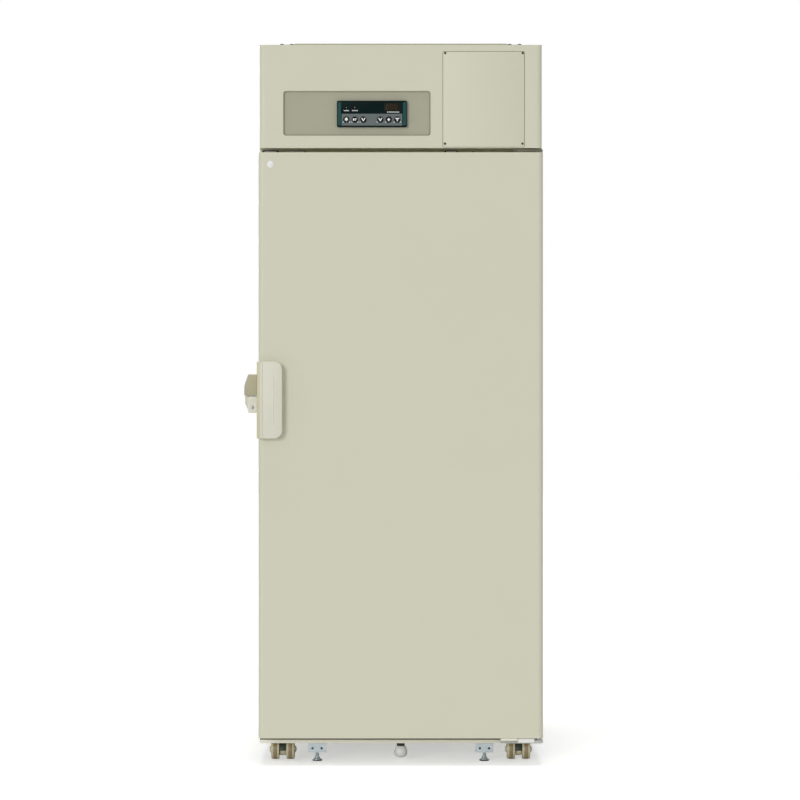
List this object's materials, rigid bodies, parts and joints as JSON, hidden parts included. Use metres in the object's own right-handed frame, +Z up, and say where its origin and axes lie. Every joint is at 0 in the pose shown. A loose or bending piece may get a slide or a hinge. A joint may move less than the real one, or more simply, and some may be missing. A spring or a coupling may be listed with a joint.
{
  "type": "laboratory freezer",
  "caption": "Upright laboratory freezer with one solid right-hinged door, a lever handle, a control header, casters, levelling feet and fixed evaporator shelves.",
  "frame": {"origin": "on the floor under the middle of the whole freezer, catch, handle and rear spacers included", "axes": "+X to the viewer's right in front of the door, +Y from the door to the back, +Z up"},
  "size_m": [0.81, 0.8783, 1.955],
  "materials": {
    "enamel": "satin",
    "insulation": "matte",
    "liner_enamel": "satin",
    "collar_plastic": "matte",
    "recess_paint": "satin",
    "panel_plastic": "gloss",
    "key_plastic": "matte",
    "window_plastic": "gloss",
    "zinc": "satin",
    "handle_plastic": "satin",
    "seal_rubber": "matte",
    "white_plastic": "satin",
    "spacer_plastic": "matte",
    "hood_plastic": "matte",
    "wheel_plastic": "satin",
    "foot_rubber": "matte",
    "shelf_aluminium": "satin",
    "machine_paint": "satin",
    "fan_plastic": "matte",
    "bush_brass": "satin"
  },
  "bodies": {
    "root": {"side_panel_left": "enamel", "side_panel_right": "enamel", "back_panel": "enamel", "machine_deck": "enamel", "base_pan": "enamel", "top_panel": "enamel", "rear_grille": "enamel", "header_panel": "enamel", "recorder_cover": "enamel", "cabinet_foam": "insulation", "inner_liner": "liner_enamel", "shelf_rails": "liner_enamel", "breaker_frame": "collar_plastic", "control_bezel": "recess_paint", "control_housing": "panel_plastic", "display_window": "window_plastic", "cabinet_hinges": "zinc", "foot_brackets": "zinc", "caster_plates": "zinc", "catch_bracket": "zinc", "catch_cover": "handle_plastic", "catch_skirt": "handle_plastic", "top_bumpers": "seal_rubber", "collar_fittings": "white_plastic", "liner_tubes": "white_plastic", "rear_spacers": "spacer_plastic", "evaporator_shelves": "shelf_aluminium", "condenser": "shelf_aluminium", "compressor": "machine_paint", "fan_shroud": "machine_paint", "electrical_box": "machine_paint"},
    "door": {"door_skin": "enamel", "door_foam": "insulation", "door_liner": "liner_enamel", "door_gasket": "seal_rubber", "door_plug": "white_plastic", "hinge_bushes": "bush_brass", "handle_base": "handle_plastic"},
    "handle": {"handle_lever": "handle_plastic"},
    "key_1": {"key_1": "key_plastic"},
    "key_2": {"key_2": "key_plastic"},
    "key_3": {"key_3": "key_plastic"},
    "key_4": {"key_4": "key_plastic"},
    "key_5": {"key_5": "key_plastic"},
    "key_6": {"key_6": "key_plastic"},
    "caster_front_left": {"caster_fork_front_left": "hood_plastic"},
    "wheels_front_left": {"caster_wheels_front_left": "wheel_plastic"},
    "caster_front_right": {"caster_fork_front_right": "hood_plastic"},
    "wheels_front_right": {"caster_wheels_front_right": "wheel_plastic"},
    "caster_rear_left": {"caster_fork_rear_left": "hood_plastic"},
    "wheels_rear_left": {"caster_wheels_rear_left": "wheel_plastic"},
    "caster_rear_right": {"caster_fork_rear_right": "hood_plastic"},
    "wheels_rear_right": {"caster_wheels_rear_right": "wheel_plastic"},
    "foot_pad_left": {"foot_pad_left": "foot_rubber"},
    "foot_stem_left": {"foot_stem_left": "zinc"},
    "foot_pad_right": {"foot_pad_right": "foot_rubber"},
    "foot_stem_right": {"foot_stem_right": "zinc"},
    "fan": {"fan_blade": "fan_plastic"},
    "power_rocker": {"power_rocker": "fan_plastic"},
    "drain_cap": {"drain_cap": "white_plastic"}
  },
  "joints": [
    {"name": "door_hinge", "type": "hinge", "parent": "root", "child": "door", "pos_m": [0.393, -0.391, 0.866], "axis": [0, 0, 1], "range_deg": [0, 110]},
    {"name": "handle_turn", "type": "hinge", "parent": "door", "child": "handle", "pos_m": [-0.357, -0.4277, 0.989], "axis": [0, 0, -1], "range_deg": [0, 30], "stiffness_Nm_per_rad": 1},
    {"name": "key_1_press", "type": "slide", "parent": "root", "child": "key_1", "axis": [0, 1, 0], "range_m": [0, 0.0008], "stiffness_N_per_m": 600},
    {"name": "key_2_press", "type": "slide", "parent": "root", "child": "key_2", "axis": [0, 1, 0], "range_m": [0, 0.0008], "stiffness_N_per_m": 600},
    {"name": "key_3_press", "type": "slide", "parent": "root", "child": "key_3", "axis": [0, 1, 0], "range_m": [0, 0.0008], "stiffness_N_per_m": 600},
    {"name": "key_4_press", "type": "slide", "parent": "root", "child": "key_4", "axis": [0, 1, 0], "range_m": [0, 0.0008], "stiffness_N_per_m": 600},
    {"name": "key_5_press", "type": "slide", "parent": "root", "child": "key_5", "axis": [0, 1, 0], "range_m": [0, 0.0008], "stiffness_N_per_m": 600},
    {"name": "key_6_press", "type": "slide", "parent": "root", "child": "key_6", "axis": [0, 1, 0], "range_m": [0, 0.0008], "stiffness_N_per_m": 600},
    {"name": "caster_front_left_swivel", "type": "hinge", "parent": "root", "child": "caster_front_left", "pos_m": [-0.303, -0.279, 0.066], "axis": [0, 0, 1], "continuous": true},
    {"name": "wheels_front_left_roll", "type": "hinge", "parent": "caster_front_left", "child": "wheels_front_left", "pos_m": [-0.303, -0.299, 0.031], "axis": [1, 0, 0], "continuous": true},
    {"name": "caster_front_right_swivel", "type": "hinge", "parent": "root", "child": "caster_front_right", "pos_m": [0.343, -0.279, 0.066], "axis": [0, 0, 1], "continuous": true},
    {"name": "wheels_front_right_roll", "type": "hinge", "parent": "caster_front_right", "child": "wheels_front_right", "pos_m": [0.343, -0.299, 0.031], "axis": [1, 0, 0], "continuous": true},
    {"name": "caster_rear_left_swivel", "type": "hinge", "parent": "root", "child": "caster_rear_left", "pos_m": [-0.303, 0.299, 0.06], "axis": [0, 0, 1], "continuous": true},
    {"name": "wheels_rear_left_roll", "type": "hinge", "parent": "caster_rear_left", "child": "wheels_rear_left", "pos_m": [-0.303, 0.279, 0.025], "axis": [1, 0, 0], "continuous": true},
    {"name": "caster_rear_right_swivel", "type": "hinge", "parent": "root", "child": "caster_rear_right", "pos_m": [0.343, 0.299, 0.06], "axis": [0, 0, 1], "continuous": true},
    {"name": "wheels_rear_right_roll", "type": "hinge", "parent": "caster_rear_right", "child": "wheels_rear_right", "pos_m": [0.343, 0.279, 0.025], "axis": [1, 0, 0], "continuous": true},
    {"name": "foot_left_lift", "type": "slide", "parent": "root", "child": "foot_pad_left", "axis": [0, 0, 1], "range_m": [0, 0.0101]},
    {"name": "foot_left_screw", "type": "hinge", "parent": "foot_pad_left", "child": "foot_stem_left", "pos_m": [-0.209, -0.304, 0.03], "axis": [0, 0, 1], "range_deg": [0, 2400]},
    {"name": "foot_right_lift", "type": "slide", "parent": "root", "child": "foot_pad_right", "axis": [0, 0, 1], "range_m": [0, 0.0101]},
    {"name": "foot_right_screw", "type": "hinge", "parent": "foot_pad_right", "child": "foot_stem_right", "pos_m": [0.249, -0.304, 0.03], "axis": [0, 0, 1], "range_deg": [0, 2400]},
    {"name": "fan_spin", "type": "hinge", "parent": "root", "child": "fan", "pos_m": [-0.17, -0.181, 1.786], "axis": [0, 1, 0], "continuous": true},
    {"name": "power_rocker_tip", "type": "hinge", "parent": "root", "child": "power_rocker", "pos_m": [0.315, 0.415, 1.82], "axis": [1, 0, 0], "range_deg": [-18, 0]},
    {"name": "drain_cap_pull", "type": "slide", "parent": "root", "child": "drain_cap", "axis": [0, 0, -1], "range_m": [0, 0.0095]}
  ],
  "couplings": [
    {"joint": "foot_left_lift", "follows": "foot_left_screw", "m_per_rad": 0.00023873},
    {"joint": "foot_right_lift", "follows": "foot_right_screw", "m_per_rad": 0.00023873}
  ]
}
